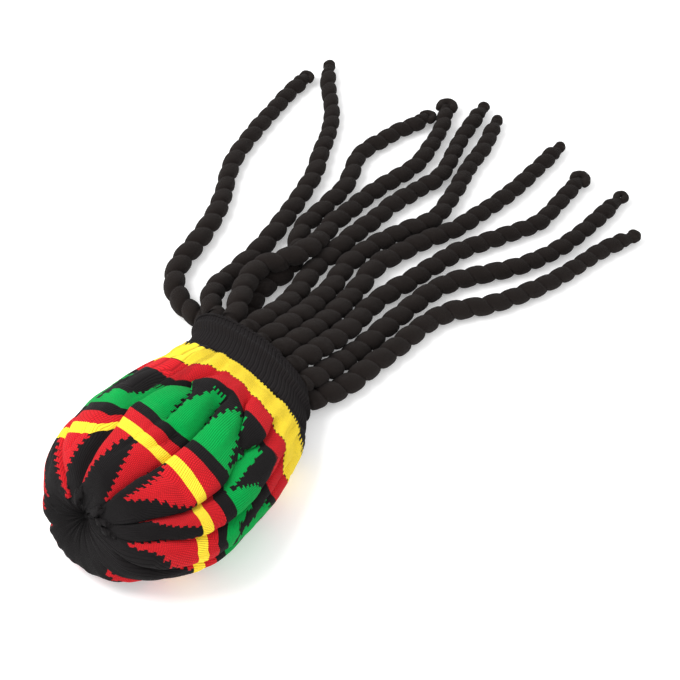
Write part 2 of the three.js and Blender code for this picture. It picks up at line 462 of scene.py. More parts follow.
@dataclass(frozen=True)
class BlackKnit:
    """Plain black knit in two tones: a painted highlight on its stitches' crowns, painted shade between.

    The wales and courses are counted for each unit of the piece's own map. Lit is where the height
    takes the lighter tone, from and to, and how much of it. Patch is how much cloudy fading adds.
    """

    name: str
    deep: Colour
    light: Colour
    wales: float
    courses: float
    relief: Relief
    lit: tuple[float, float, float]
    patch: float
    fuzz_scale: float
    roughness: float
    sheen: float
    slant: float = 0.9
    roundness: float = 2.0
    patch_scale: float = 60.0

    def build(self) -> bpy.types.Material:
        """Build the knit.

        Returns:
            The material.
        """
        bath = Dyebath(self.name)
        across, along = bath.across_and_along()
        knit = bath.stitches(across * self.wales, along * self.courses, self.slant, self.roundness)
        place = bath.object_place()
        fuzz = bath.speck(place, self.fuzz_scale)
        height = knit.crown * self.relief.crown + knit.rows * self.relief.rows + fuzz * self.relief.fuzz
        # Painted highlight on the stitch crowns, painted shade between them, and random cloudy patches
        low, high, share = self.lit
        tone = height.rise(low, high) * share
        if self.patch > 0.0:
            tone = tone + bath.speck(place, self.patch_scale) * self.patch
        colour = bath.mix(tone, self.deep, self.light)
        return bath.finish(colour, self.roughness, height, self.relief.depth, self.sheen)


# The cuff's stitches lie on ribs that the mesh itself has
RIB_FINISH = BlackKnit(
    name="black_rib",
    # deep is painted shade between the stitches, light a painted highlight on their crowns
    deep=(0.0075, 0.0063, 0.0066, 1.0),
    light=(0.019, 0.0165, 0.017, 1.0),
    wales=180.0,
    courses=40.0,
    relief=Relief(0.55, 0.35, 0.2, 0.0005),
    lit=(0.15, 1.0, 0.7),
    patch=0.0,
    fuzz_scale=1100.0,
    roughness=0.95,
    sheen=0.03,
)

# The locks' map is in millimetres, and the wales of their warm black jersey run along each roll
ROPE_FINISH = BlackKnit(
    name="black_jersey_rope",
    # deep is painted shade between the stitches, light a painted highlight on their crowns
    deep=(0.0085, 0.0063, 0.0058, 1.0),
    light=(0.024, 0.0185, 0.0165, 1.0),
    wales=1.0 / 1.5,
    courses=1.0 / 1.15,
    relief=Relief(0.5, 0.3, 0.35, 0.00045),
    lit=(0.2, 1.1, 0.55),
    patch=0.3,
    fuzz_scale=1300.0,
    roughness=0.94,
    sheen=0.04,
)


@dataclass(frozen=True)
class TableFinish:
    """Pale matt top of a light table, which glows a little, so that shadows on it are faint."""

    paint: Colour = (0.93, 0.93, 0.93, 1.0)
    grain: Colour = (0.9, 0.9, 0.9, 1.0)
    grain_share: float = 0.02
    grain_scale: float = 40.0
    grain_depth: float = 0.00001
    roughness: float = 0.8
    glow: float = 0.28

    def build(self) -> bpy.types.Material:
        """Build the paint.

        Returns:
            The material.
        """
        bath = Dyebath("table_top")
        grain = bath.speck(bath.object_place(), self.grain_scale)
        colour = bath.mix(grain * self.grain_share, self.paint, self.grain)
        bath.shader.inputs["Emission Color"].default_value = self.paint
        bath.shader.inputs["Emission Strength"].default_value = self.glow
        return bath.finish(colour, self.roughness, grain, self.grain_depth, 0.0)


class Slot(Enum):
    """The record's material slots."""

    JACQUARD = "jacquard_knit"
    RIB = "black_rib"
    ROPE = "black_jersey_rope"


class Wardrobe:
    """Each finish, built once."""

    def __init__(self) -> None:
        """Build the finishes."""
        self.finishes = {
            Slot.JACQUARD: JacquardFinish().build(),
            Slot.RIB: RIB_FINISH.build(),
            Slot.ROPE: ROPE_FINISH.build(),
        }

    def dress(self, piece: bpy.types.Object, slot: Slot, *nodes: str) -> bpy.types.Object:
        """Give a piece its finish, and put it in place of its solids.

        Args:
            piece: the finished object.
            slot: the record's slot that it takes its finish from.
            nodes: the solids that it stands for.

        Returns:
            The piece.
        """
        piece.data.materials.clear()
        piece.data.materials.append(self.finishes[slot])
        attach(piece, "root")
        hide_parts(*nodes)
        return piece


# Meshes

Placer = Callable[[float, float], Vector]
Mapper = Callable[[float, float], tuple[float, float]]


def make_piece(bm: bmesh.types.BMesh, name: str) -> bpy.types.Object:
    """Turn a bmesh into a smooth-shaded object at the origin.

    Args:
        bm: the mesh, which is freed.
        name: the piece's name.

    Returns:
        The object, linked to the scene.
    """
    mesh = bpy.data.meshes.new(name)
    bm.to_mesh(mesh)
    bm.free()
    mesh.shade_smooth()
    piece = bpy.data.objects.new(name, mesh)
    bpy.context.scene.collection.objects.link(piece)
    return piece


def wrap_grid(columns: int, rows: int, place: Placer, chart: Mapper) -> bmesh.types.BMesh:
    """Bend a flat grid into a tube of fabric and close its seam.

    Args:
        columns: cells round the tube.
        rows: cells along it.
        place: the point for a share round the tube and a share along it, in metres.
        chart: the fabric's own coordinates for the same shares.

    Returns:
        The mesh, with its seam merged and its faces outwards.
    """
    bm = bmesh.new()
    bmesh.ops.create_grid(bm, x_segments=columns, y_segments=rows, size=0.5, calc_uvs=True)
    layer = bm.loops.layers.uv.verify()
    shares = {v: (v.co.x + 0.5, v.co.y + 0.5) for v in bm.verts}
    charts = {v: chart(*share) for v, share in shares.items()}
    for face in bm.faces:
        for loop in face.loops:
            loop[layer].uv = charts[loop.vert]
    for v, share in shares.items():
        v.co = place(*share)
    seam = [v for v, (u, _) in shares.items() if u < TINY or u > 1.0 - TINY]
    bmesh.ops.remove_doubles(bm, verts=seam, dist=TINY)
    bmesh.ops.recalc_face_normals(bm, faces=bm.faces)
    return bm


def rename_chart(piece: bpy.types.Object) -> None:
    """Give the piece's map the name that the finishes read."""
    piece.data.uv_layers[0].name = "fabric"


# Camera, table and light


@dataclass
class Viewpoint:
    """The camera, at the photograph's angle and framing, aimed at a point of the table."""

    azimuth: float = 42.0
    elevation: float = 52.0
    distance: float = 2.0
    lens: float = 98.04
    sensor: float = 36.0
    far: float = 20.0
    target: Vector = field(default_factory=lambda: Vector((-0.00173, 0.23722, 0.0)))

    def build(self) -> None:
        """Place the camera and make it the scene's own."""
        turn, rise = math.radians(self.azimuth), math.radians(self.elevation)
        level = math.cos(rise)
        back = Vector((math.sin(turn) * level, -math.cos(turn) * level, math.sin(rise)))
        data = bpy.data.cameras.new("camera")
        data.lens = self.lens
        data.sensor_width = self.sensor
        data.clip_end = self.far
        camera = bpy.data.objects.new("camera", data)
        camera.location = self.target + back * self.distance
        camera.rotation_euler = (-back).to_track_quat("-Z", "Y").to_euler()
        bpy.context.scene.collection.objects.link(camera)
        bpy.context.scene.camera = camera


@dataclass(frozen=True)
class Lamp:
    """A square soft light that faces the cap: its place and side in metres, its power in watts."""

    name: str
    place: tuple[float, float, float]
    side: float
    power: float
    aim: tuple[float, float, float] = (0.0, 0.1, 0.0)

    def build(self) -> None:
        """Hang the light."""
        data = bpy.data.lights.new(self.name, "AREA")
        data.size = self.side
        data.energy = self.power
        light = bpy.data.objects.new(self.name, data)
        light.location = self.place
        ahead = Vector(self.aim) - Vector(self.place)
        light.rotation_euler = ahead.to_track_quat("-Z", "Y").to_euler()
        bpy.context.scene.collection.objects.link(light)


@dataclass
class Studio:
    """A pale table top and soft light from above and both sides."""

    half_size: float = 6.0
    cells: int = 8
    sky: float = 0.8
    lamps: tuple[Lamp, ...] = (
        Lamp("key", (-0.9, -0.5, 1.5), 1.2, 30.0),
        Lamp("fill", (1.4, 0.6, 1.3), 1.6, 5.0),
    )

    def build(self) -> None:
        """Build the table and the lights."""
        bm = bmesh.new()
        bmesh.ops.create_grid(bm, x_segments=self.cells, y_segments=self.cells, size=self.half_size)
        table = make_piece(bm, "table_top")
        table.data.materials.append(TableFinish().build())
        for lamp in self.lamps:
            lamp.build()
        world = bpy.data.worlds.new("studio")
        world.use_nodes = True
        world.node_tree.nodes["Background"].inputs["Color"].default_value = (1.0, 1.0, 1.0, 1.0)
        world.node_tree.nodes["Background"].inputs["Strength"].default_value = self.sky
        bpy.context.scene.world = world
        bpy.context.scene.view_settings.view_transform = "Standard"


# Locks


@dataclass(frozen=True)
class Route:
    """A smooth line through points, the same curve that the part's own tube follows."""

    points: tuple[Vector, ...]
    fineness: int = 24

    @staticmethod
    def through(rows: Sequence[Sequence[float]]) -> "Route":
        """Take rows of millimetres in the part's own tables."""
        return Route(tuple((Vector(row) + CAP_SHIFT) * MM for row in rows))

    def sample(self, step: float) -> list[Vector]:
        """Walk the line.

        Args:
            step: the distance between samples.

        Returns:
            Points at equal distances, both ends included.
        """
        fine = self.fineness
        dense = [self.at(i, k / fine) for i in range(len(self.points) - 1) for k in range(fine)]
        dense.append(self.points[-1])
        walked = [0.0]
        for a, b in zip(dense, dense[1:]):
            walked.append(walked[-1] + (b - a).length)
        count = max(round(walked[-1] / step), 2)
        line = []
        for k in range(count + 1):
            goal = walked[-1] * k / count
            i = min(max(bisect_right(walked, goal) - 1, 0), len(dense) - 2)
            span = max(walked[i + 1] - walked[i], TINY)
            line.append(dense[i].lerp(dense[i + 1], (goal - walked[i]) / span))
        return line

    def at(self, i: int, share: float) -> Vector:
        """A point on the stretch after point i, on a centripetal curve.

        Args:
            i: the stretch.
            share: how far along it.

        Returns:
            The point.
        """
        b, c = self.points[i], self.points[i + 1]
        a = self.points[i - 1] if i > 0 else b * 2 - c
        d = self.points[i + 2] if i + 2 < len(self.points) else c * 2 - b
        before, here, after = (max((q - p).length ** 0.5, TINY) for p, q in ((a, b), (b, c), (c, d)))
        start = ((b - a) / before - (c - a) / (before + here) + (c - b) / here) * here
        end = ((c - b) / here - (d - b) / (here + after) + (d - c) / after) * here
        square, cube = share * share, share**3
        point = b * (2 * cube - 3 * square + 1) + start * (cube - 2 * square + share)
        return point + c * (3 * square - 2 * cube) + end * (cube - square)


# The line of each lock from the hem to its end, x, y and z in millimetres
LOCK_ROUTES: tuple[tuple[tuple[float, float, float], ...], ...] = (
    (
        (-112, 129.8, 21.7), (-112, 138, 17.8), (-124, 144, 14), (-142, 145, 11), (-159, 148, 10),
        (-177, 156, 10), (-192, 170, 10), (-202, 191, 10), (-207, 214, 10), (-214, 240, 10),
        (-224, 268, 10), (-240, 297, 10), (-257, 322, 10), (-270, 349, 10), (-278, 378, 10),
        (-285, 409, 10), (-290, 438, 10), (-295, 467, 10), (-297, 494, 10),
    ),
    (
        (-104, 138.7, 40), (-104, 146, 36.4), (-122, 157, 30), (-136, 173, 23), (-143, 193, 16),
        (-145, 212, 11), (-147, 234, 10), (-149, 256, 10), (-153, 282, 10), (-160, 311, 10),
        (-166, 336, 10), (-174, 362, 10), (-183, 388, 10), (-198, 414, 10), (-214, 446, 10),
        (-232, 472, 10), (-252, 491, 10), (-271, 508, 10), (-284, 524, 10),
    ),
    (
        (-60, 114, 14.4), (-63, 130, 14), (-75, 151, 11.5), (-90, 177, 10), (-101, 197, 10),
        (-107, 216, 10), (-108, 236, 10), (-106, 257, 10), (-112, 279, 10), (-127, 299, 10),
        (-136, 318, 10), (-138, 344, 10), (-140, 370, 10), (-142, 393, 10), (-151, 416, 10),
        (-162, 438, 10), (-164, 460, 10), (-160, 481, 10), (-156, 505, 10), (-149, 524, 10),
        (-146, 540, 10),
    ),
    (
        (-84, 142.3, 47.4), (-84, 150, 43.7), (-92, 166, 41), (-103, 184, 38), (-115, 207, 33),
        (-119, 232, 31.5), (-109, 252, 31.5), (-102, 271, 31.5), (-101, 293, 27), (-108, 320, 14),
        (-115, 344, 10), (-114, 368, 10), (-114, 400, 10), (-111, 430, 10), (-106, 456, 10),
        (-105, 483, 10), (-110, 505, 10), (-116, 526, 10), (-124, 548, 10), (-136, 568, 10),
    ),
    (
        (-62, 144.1, 51.1), (-62, 152, 47.2), (-60, 175, 42), (-60, 200, 34), (-66, 224, 25),
        (-73, 246, 18), (-81, 268, 13), (-86, 290, 10), (-85, 311, 10), (-86, 332, 10),
        (-86, 353, 10), (-84, 380, 10), (-84, 411, 10), (-80, 434, 10), (-77, 453, 10),
        (-73, 472, 10), (-75, 493, 10), (-84, 519, 10), (-93, 545, 10), (-99, 570, 10),
        (-104, 593, 10),
    ),
    (
        (-40, 144.7, 52.3), (-40, 152, 48.7), (-37, 175, 43), (-38, 200, 36), (-41, 223, 28),
        (-46, 247, 20), (-50, 270, 14), (-58, 292, 10), (-62, 313, 10), (-61, 335, 10),
        (-58, 355, 10), (-52, 375, 10), (-46, 394, 10), (-38, 413, 10), (-35, 433, 10),
        (-40, 457, 10), (-46, 481, 10), (-53, 502, 10), (-59, 524, 10), (-63, 547, 10),
        (-77, 587, 10),
    ),
    (
        (-18, 144.2, 51.3), (-18, 152, 47.4), (-15, 175, 41), (-16.5, 200, 33), (-18.5, 222, 25),
        (-21.5, 247, 18), (-27, 274, 12), (-31, 297, 10), (-36, 318, 10), (-36, 338, 10),
        (-31, 359, 10), (-26, 379, 10), (-20, 399, 10), (-12, 418, 10), (-6, 436, 10),
        (-3, 458, 10), (0, 480, 10), (3, 505, 10), (4, 535, 10), (3, 565, 10), (2, 602, 10),
    ),
    (
        (4, 142.6, 48), (4, 150, 44.4), (6, 173, 39), (5.5, 199, 31), (5, 222, 24),
        (3, 246, 17), (-1, 268, 12), (-3, 289, 10), (-1, 311, 10), (4, 334, 10),
        (8, 361, 10), (12, 384, 10), (17, 407, 10), (25, 428, 10), (36, 452, 10),
        (47, 477, 10), (56, 500, 10), (56, 522, 10), (54, 545, 10), (51, 580, 10),
    ),
    (
        (24, 139.3, 41.1), (24, 147, 37.3), (26, 168, 28), (27, 190, 20), (27, 212, 13.5),
        (28, 234, 10), (28, 255, 10), (28, 275, 10), (29, 298, 10), (30, 322, 10),
        (34, 350, 10), (42, 372, 10), (54, 393, 10), (68, 415, 10), (82, 440, 10),
        (91, 464, 10), (98, 491, 10), (101, 521, 10), (102, 551, 10), (102, 582, 10),
    ),
    (
        (34, 130.7, 23.5), (34, 138.5, 19.7), (41, 157, 14), (47, 176, 11), (50, 196, 10),
        (51, 219, 10), (53, 243, 10), (55, 268, 10), (56, 292, 10), (59, 316, 10),
        (67, 336, 10), (79, 354, 10), (90, 369, 10), (99, 387, 10), (108, 408, 10),
        (116, 429, 10), (122, 451, 10), (127, 475, 10), (131, 500, 10), (136, 523, 10),
        (145, 548, 10),
    ),
)

# The height of a route where it lies on the table, in metres
TABLE_LINE = 0.010


class End(Enum):
    """How the roll is turned at a lock's free end."""

    BEAN = "bean"
    HOOK = "hook"
    LOOP = "loop"


@dataclass(frozen=True)
class Knob:
    """The turned end of a lock, past a narrow neck, in metres and degrees.

    A roll is bent round a middle that is a spread away from it. The bend starts at an angle and
    sweeps on. The neck is how far the lock runs on past its route, and the middle lies ahead of it.
    """

    spread: float
    roll: float
    sweep: float
    start: float
    neck: float
    ahead: float


KNOBS = {
    End.BEAN: Knob(spread=0.0, roll=0.0078, sweep=360.0, start=0.0, neck=0.0064, ahead=0.0034),
    End.HOOK: Knob(spread=0.0066, roll=0.0048, sweep=225.0, start=-25.0, neck=0.0040, ahead=0.0016),
    End.LOOP: Knob(spread=0.0050, roll=0.0040, sweep=300.0, start=-50.0, neck=0.0076, ahead=0.0058),
}


# How far a turned end leans and swells at random, and the shallow crease across a ball: its depth as a
# share of the radius, its slope, and its width and place in shares of the radius and of its own width
KNOB_LEAN = 0.3
KNOB_LUMP = 0.08
LUMP_RATE = 200.0
KNOB_CREASE = 0.12
CREASE_SLOPE = 0.5
CREASE_WIDTH = 0.2
CREASE_PLACE = 1.6

# The cells of a ball's sphere, and those of a bend's section and of its sweep
BALL_CELLS = (28, 18)
BEND_CELLS = (20, 22)

# Each end of a bend is closed by rings, which narrow and rise by these shares of the roll's radius
CLOSING_INSET = 0.3
CLOSING_RISES = (0.35, 0.15)


@dataclass
class Lock:
    """A thick jersey roll bound in one winding groove, sewn into the hem, with a turned free end.

    Sizes are in metres. A share is of the lock's half width unless its name says otherwise, and a
    rate is how many random waves there are in a metre, in a turn or between two rings.
    """

    number: int
    route: Route
    end: End
    end_scale: float = 1.0
    step: float = 0.0012
    sides: int = 40
    width: float = 0.0250
    end_width: float = 0.0194
    taper_from: float = 0.1
    taper_to: float = 0.95
    swell_share: float = 0.05
    swell_rate: float = 38.0
    root_length: float = 0.012
    root_share: float = 0.74
    root_sink: float = 0.0045
    sink_length: float = 0.040
    neck_length: float = 0.007
    neck_share: float = 0.68
    neck_overlap: float = 0.4
    lying: float = 0.012
    lifted: float = 0.030
    pressed_share: float = 0.97
    first_turn: float = 0.37
    pitch_share: float = 0.96
    least_pitch: float = 0.011
    pitch_wander: float = 0.2
    pitch_rate: float = 25.0
    end_pitch: float = 0.5
    groove: float = 0.39
    groove_wander: float = 0.25
    groove_rate: float = 1.3
    bead_power: float = 2.4
    bead_round: float = 0.55
    lump_share: float = 0.025
    lump_around: float = 1.6
    lump_rate: float = 0.13
    fabric_girth: float = 60.0

    def body(self, at: float, length: float) -> float:
        """Work out half the roll's width, leaving out the neck.

        Args:
            at: the distance from the hem.
            length: the lock's length.

        Returns:
            Half the width there.
        """
        taper = smooth(at / length, self.taper_from, self.taper_to)
        half = (self.width + (self.end_width - self.width) * taper) / 2
        half *= 1.0 + self.swell_share * wander(at * self.swell_rate, 0.3, 0.0, self.number)
        return half * (self.root_share + (1.0 - self.root_share) * smooth(at, 0.0, self.root_length))

    def radius(self, at: float, length: float) -> float:
        """Work out half the lock's width.

        Args:
            at: the distance from the hem.
            length: the lock's length.

        Returns:
            Half the width there, the neck narrowed.
        """
        start = length - KNOBS[self.end].neck
        neck = smooth(at, start - self.neck_length, start + self.neck_overlap * self.neck_length)
        return self.body(at, length) * (1.0 - (1.0 - self.neck_share) * neck)

    def centres(self) -> list[Vector]:
        """Settle the line of the route on the table, tuck it in at the hem and run it on as a neck.

        Returns:
            The centre of each ring.
        """
        line = self.route.sample(self.step)
        ahead = (line[-1] - line[-3]).normalized()
        more = round(KNOBS[self.end].neck / self.step)
        line += [line[-1] + ahead * self.step * k for k in range(1, more + 1)]
        length = self.step * (len(line) - 1)
        settled = []
        for k, point in enumerate(line):
            at = k * self.step
            half = self.body(at, length)
            sink = self.root_sink * (1.0 - smooth(at, 0.0, self.sink_length))
            lift = (half - TABLE_LINE) * (1.0 - smooth(point.z, self.lying, self.lifted))
            height = max(point.z + lift - sink, half * self.pressed_share)
            settled.append(Vector((point.x, point.y, height)))
        return settled

    def frames(self, line: Sequence[Vector]) -> list[tuple[Vector, Vector]]:
        """Two directions across the line at each ring, carried along it without twist.

        Args:
            line: the rings' centres.

        Returns:
            A side and an upward direction for each ring.
        """
        pairs = []
        side = Vector((1.0, 0.0, 0.0))
        for k in range(len(line)):
            ahead = (line[min(k + 1, len(line) - 1)] - line[max(k - 1, 0)]).normalized()
            side = (side - ahead * side.dot(ahead)).normalized()
            pairs.append((side, ahead.cross(side)))
        return pairs

    def turns(self, line: Sequence[Vector]) -> list[float]:
        """Wind the groove along the lock, unevenly as by hand, and looser at the end.

        Args:
            line: the rings' centres.

        Returns:
            How many turns the groove has made at each ring.
        """
        length = self.step * (len(line) - 1)
        turn, found = self.first_turn * self.number, []
        for k in range(len(line)):
            found.append(turn)
            at = k * self.step
            share = smooth(at, length - self.neck_length, length)
            pitch = 2.0 * self.pitch_share * self.radius(at, length) * (1.0 + self.end_pitch * share)
            pitch *= 1.0 + self.pitch_wander * wander(at * self.pitch_rate, 4.7, 0.0, self.number)
            turn += self.step / max(pitch, self.least_pitch)
        return found

    def bulge(self, turn: float, angle: float) -> float:
        """The radius at a point of the winding, as a share of half the width.

        Args:
            turn: how many turns the groove has made at this ring.
            angle: the direction round the lock, in radians.

        Returns:
            The share: 1 on the crown of a bead and least in the groove.
        """
        phase = (turn - angle / (2.0 * math.pi)) % 1.0
        from_middle = abs(2.0 * phase - 1.0)
        uneven = wander(turn * self.groove_rate, math.cos(angle), math.sin(angle), self.number)
        depth = self.groove * (1.0 + self.groove_wander * uneven)
        return 1.0 - depth + depth * max(1.0 - from_middle**self.bead_power, 0.0) ** self.bead_round

    def build(self, wardrobe: Wardrobe) -> bpy.types.Object:
        """Args:
            wardrobe: the finishes.

        Returns:
            The lock.
        """
        line = self.centres()
        across = self.frames(line)
        turns = self.turns(line)
        length = self.step * (len(line) - 1)
        last = len(line) - 1

        def place(u: float, w: float) -> Vector:
            """Place a point of the lock's skin.

            Args:
                u: its share of the way round.
                w: its share of the way along.

            Returns:
                The point, in metres.
            """
            k = round(w * last)
            angle = 2.0 * math.pi * u
            x, y = math.cos(angle) * self.lump_around, math.sin(angle) * self.lump_around
            half = self.radius(k * self.step, length) * self.bulge(turns[k], angle)
            half *= 1.0 + self.lump_share * wander(x, y, k * self.lump_rate, self.number)
            side, up = across[k]
            point = line[k] + (side * math.cos(angle) + up * math.sin(angle)) * half
            point.z = max(point.z, 0.0)
            return point

        def chart(u: float, w: float) -> tuple[float, float]:
            """Millimetres round the roll from the groove, and along the lock."""
            return (turns[round(w * last)] - u) * self.fabric_girth, w * length / MM

        bm = wrap_grid(self.sides, last, place, chart)
        bmesh.ops.holes_fill(bm, edges=[e for e in bm.edges if e.is_boundary], sides=self.sides + 2)
        bmesh.ops.recalc_face_normals(bm, faces=bm.faces)
        rope = make_piece(bm, f"rope_{self.number:02d}")
        rename_chart(rope)
        wardrobe.dress(rope, Slot.ROPE, f"lock_{self.number:02d}")
        knob = self.knob(line, wardrobe)
        return rope

    def knob(self, line: Sequence[Vector], wardrobe: Wardrobe) -> bpy.types.Object:
        """Build the turned end: a ball, or a round section spun part of the way round.

        Args:
            line: the rings' centres.
            wardrobe: the finishes.

        Returns:
            The end.
        """
        size = KNOBS[self.end]
        spread, roll = size.spread * self.end_scale, size.roll * self.end_scale
        ahead = (line[-1] - line[-3]).normalized()
        wide = ahead.cross(Vector((0.0, 0.0, 1.0))).normalized()
        thick = wide.cross(ahead)
        bm = bmesh.new()
        if self.end is End.BEAN:
            meridians, rings = BALL_CELLS
            bmesh.ops.create_uvsphere(bm, u_segments=meridians, v_segments=rings, radius=roll)
        else:
            self.bend(bm, spread, roll, size)
        bmesh.ops.recalc_face_normals(bm, faces=bm.faces)
        layer = bm.loops.layers.uv.verify()
        for face in bm.faces:
            for loop in face.loops:
                co = loop.vert.co
                arc = math.atan2(co.y, co.x) * (spread + roll)
                loop[layer].uv = ((co.z + math.hypot(co.x, co.y)) / MM, arc / MM)
        base = line[-1] + ahead * size.ahead * self.end_scale
        lean = KNOB_LEAN * wander(0.4, 2.2, 9.1, self.number)
        for v in bm.verts:
            x, y, z = v.co * self.lump(v.co, roll)
            v.co = base + wide * (x + lean * y) + ahead * y + thick * z
        low = min(v.co.z for v in bm.verts)
        bmesh.ops.translate(bm, verts=bm.verts, vec=(0.0, 0.0, max(-low, 0.0)))
        knob = make_piece(bm, f"rope_{self.number:02d}_end")
        rename_chart(knob)
        return wardrobe.dress(knob, Slot.ROPE, f"lock_{self.number:02d}_tip")

    def lump(self, point: Vector, roll: float) -> float:
        """Work out how far a point of the end swells, and how far a ball is creased across.

        Args:
            point: the point, in metres from the end's middle.
            roll: the roll's radius.

        Returns:
            The scale of the point's distance from the middle.
        """
        x, y, z = (value * LUMP_RATE for value in point)
        scale = 1.0 + KNOB_LUMP * wander(x, y, z, self.number)
        if self.end is End.BEAN:
            across = (point.y - CREASE_SLOPE * point.x) / (CREASE_WIDTH * roll) + CREASE_PLACE
            scale -= KNOB_CREASE * math.exp(-(across**2))
        return scale

    def bend(self, bm: bmesh.types.BMesh, spread: float, roll: float, size: Knob) -> None:
        """Spin a round section about the upright axis and close its ends roundly.

        Args:
            bm: the mesh to build in.
            spread: how far the section's middle is from the axis.
            roll: the section's radius.
            size: the knob, which gives where the bend starts and how far it goes.
        """
        sides, steps = BEND_CELLS
        bmesh.ops.create_circle(bm, segments=sides, radius=roll, cap_ends=False)
        bmesh.ops.rotate(bm, verts=bm.verts, matrix=Matrix.Rotation(math.radians(90.0), 3, "X"))
        bmesh.ops.translate(bm, verts=bm.verts, vec=(spread, 0.0, 0.0))
        bmesh.ops.rotate(bm, verts=bm.verts, matrix=Matrix.Rotation(math.radians(size.start), 3, "Z"))
        bmesh.ops.spin(
            bm,
            geom=list(bm.verts) + list(bm.edges),
            cent=(0.0, 0.0, 0.0),
            axis=(0.0, 0.0, 1.0),
            angle=math.radians(size.sweep),
            steps=steps,
            use_merge=False,
        )
        rims = [e for e in bm.edges if e.is_boundary]
        inset = roll * CLOSING_INSET
        for cap in bmesh.ops.holes_fill(bm, edges=rims, sides=sides + 2)["faces"]:
            for rise in CLOSING_RISES:
                bmesh.ops.inset_region(bm, faces=[cap], thickness=inset, depth=roll * rise)


# How each lock ends, and the scale of its end
LOCK_ENDS = (
    (End.HOOK, 0.86), (End.BEAN, 1.0), (End.HOOK, 0.92), (End.HOOK, 1.15), (End.BEAN, 0.92),
    (End.BEAN, 0.9), (End.BEAN, 0.88), (End.HOOK, 1.1), (End.LOOP, 1.0), (End.BEAN, 1.02),
)


# Cap


# The largest share of an oval's width that folds take, and the least half size they leave, in millimetres
MOST_PULL = 0.9
LEAST_HALF = 0.2


@dataclass(frozen=True)
class Section:
    """An oval of the cap, in millimetres, in a plane that leans by some degrees, its top toward +Y.

    Its reach is its distance from the gather or from the cuff's seam along the fabric, and x, y and z
    are its middle.
    """

    reach: float
    x: float
    y: float
    z: float
    half_width: float
    half_height: float
    lean: float

    def point(self, angle: float, depth: float) -> Vector:
        """Find a point of the oval, no lower than the table.

        Args:
            angle: degrees from +X over the top.
            depth: how far the fabric is pulled in.

        Returns:
            The point, in millimetres.
        """
        turn, lean = math.radians(angle), math.radians(self.lean)
        share = 1.0 - min(MOST_PULL, depth / max(self.half_width, self.half_height))
        across = max(self.half_width * share, LEAST_HALF) * math.cos(turn)
        up = max(self.half_height - depth, LEAST_HALF) * math.sin(turn)
        x, y = self.x + across, self.y + up * math.sin(lean)
        return Vector((x, y, max(self.z + up * math.cos(lean), 0.0)))


def between(rows: Sequence[Section], position: float) -> Section:
    """A section between two rows of a table, on a smooth curve through all of them.

    Args:
        rows: the table.
        position: a row number, with a share of the way to the next.

    Returns:
        The section there.
    """
    last = len(rows) - 1
    i = min(int(position), last - 1)
    t = position - i
    near = [rows[min(max(k, 0), last)] for k in (i - 1, i, i + 1, i + 2)]
    mixed = []
    for name in Section.__dataclass_fields__:
        a, b, c, d = (getattr(row, name) for row in near)
        mixed.append(b + 0.5 * t * (c - a + t * (2 * a - 5 * b + 4 * c - d + t * (3 * (b - c) + d - a))))
    return Section(*mixed)


# Columns: reach, x, y, z, half width, half height, lean
CAP_SECTIONS = tuple(
    Section(*row)
    for row in (
        (0, -12, -126, 56, 3, 3, 36),
        (14, -10, -134, 57, 16, 13, 36),
        (34, -6, -138, 57, 36, 28, 34),
        (60, -2, -137, 56, 57, 43, 28),
        (88, 2, -126, 56, 76, 52, 20),
        (118, 4, -105, 56, 93, 57, 12),
        (156, 7, -73, 56, 107, 60, 6),
        (196, 6, -34, 55, 112, 59, 2),
        (236, 2, 5, 51, 108, 55, 0),
        (274, -2, 40, 45, 102, 49, 4),
        (306, -8, 67, 39, 95, 43, 8),
        (330, -13, 86, 34, 90, 37, 12),
        (344, -17, 98, 31, 88, 33, 14),
    )
)
CUFF_SECTIONS = tuple(
    Section(*row)
    for row in (
        (0, -17, 98.4, 31, 86, 32, 14),
        (9, -20, 106, 30, 84, 31, 17),
        (20, -26, 115, 29, 82, 31, 20),
        (28, -30, 121, 29, 84, 33, 22),
        (36, -34, 127, 29, 82, 32, 24),
        (44, -39, 133, 29, 81, 33, 26),
    )
)


@dataclass(frozen=True)
class Crease:
    """A fold at one reach: its depth in millimetres, and its angle, spreads and lean in degrees."""

    angle: float
    depth: float
    near: float
    far: float
    lean: float

    def aside(self, angle: float) -> float:
        """How far an angle is past the crease, in degrees."""
        return (angle - self.angle + 180.0) % 360.0 - 180.0

    def pull(self, angle: float) -> float:
        """Work out how deep the crease pulls the fabric in.

        Args:
            angle: the place round the cap, in degrees.

        Returns:
            The depth there, in millimetres.
        """
        aside = self.aside(angle)
        share = max(0.0, 1.0 - abs(aside) / (self.far if aside > 0.0 else self.near))
        return self.depth * share * share

    def lean_over(self, angle: float) -> float:
        """Work out how far the fabric on the lip's side leans over the crease, most of all half way up.

        Args:
            angle: the place round the cap, in degrees.

        Returns:
            The lean there, in degrees.
        """
        aside = self.aside(angle)
        share = -aside / self.near if self.lean > 0.0 else aside / self.far
        return self.lean * 4.0 * share * (1.0 - share) if 0.0 < share < 1.0 else 0.0


@dataclass(frozen=True)
class Fold:
    """A fold of the slack crown, along a line of reaches and angles.

    Its near side is that of the smaller angles. With a positive lean the near side hangs over the
    crease as a lip, and with a negative lean the far side does. It fades over a length at its ends,
    and near the gather, where every fold runs out.
    """

    line: tuple[tuple[float, float], ...]
    depth: float
    near: float
    far: float
    lean: float = 0.0
    fade: float = 36.0
    gathered: float = 62.0

    def at(self, reach: float) -> Crease | None:
        """Cut the fold at one reach.

        Args:
            reach: the distance from the gather, in millimetres.

        Returns:
            The crease there, or nothing past the fold's ends.
        """
        first, last = self.line[0][0], self.line[-1][0]
        strength = smooth(reach, first, first + self.fade) * (1.0 - smooth(reach, last - self.fade, last))
        strength *= smooth(reach, 0.0, self.gathered)
        if strength <= 0.0:
            return None
        angle = read_off(self.line, reach)
        return Crease(angle, self.depth * strength, self.near, self.far, self.lean * strength)


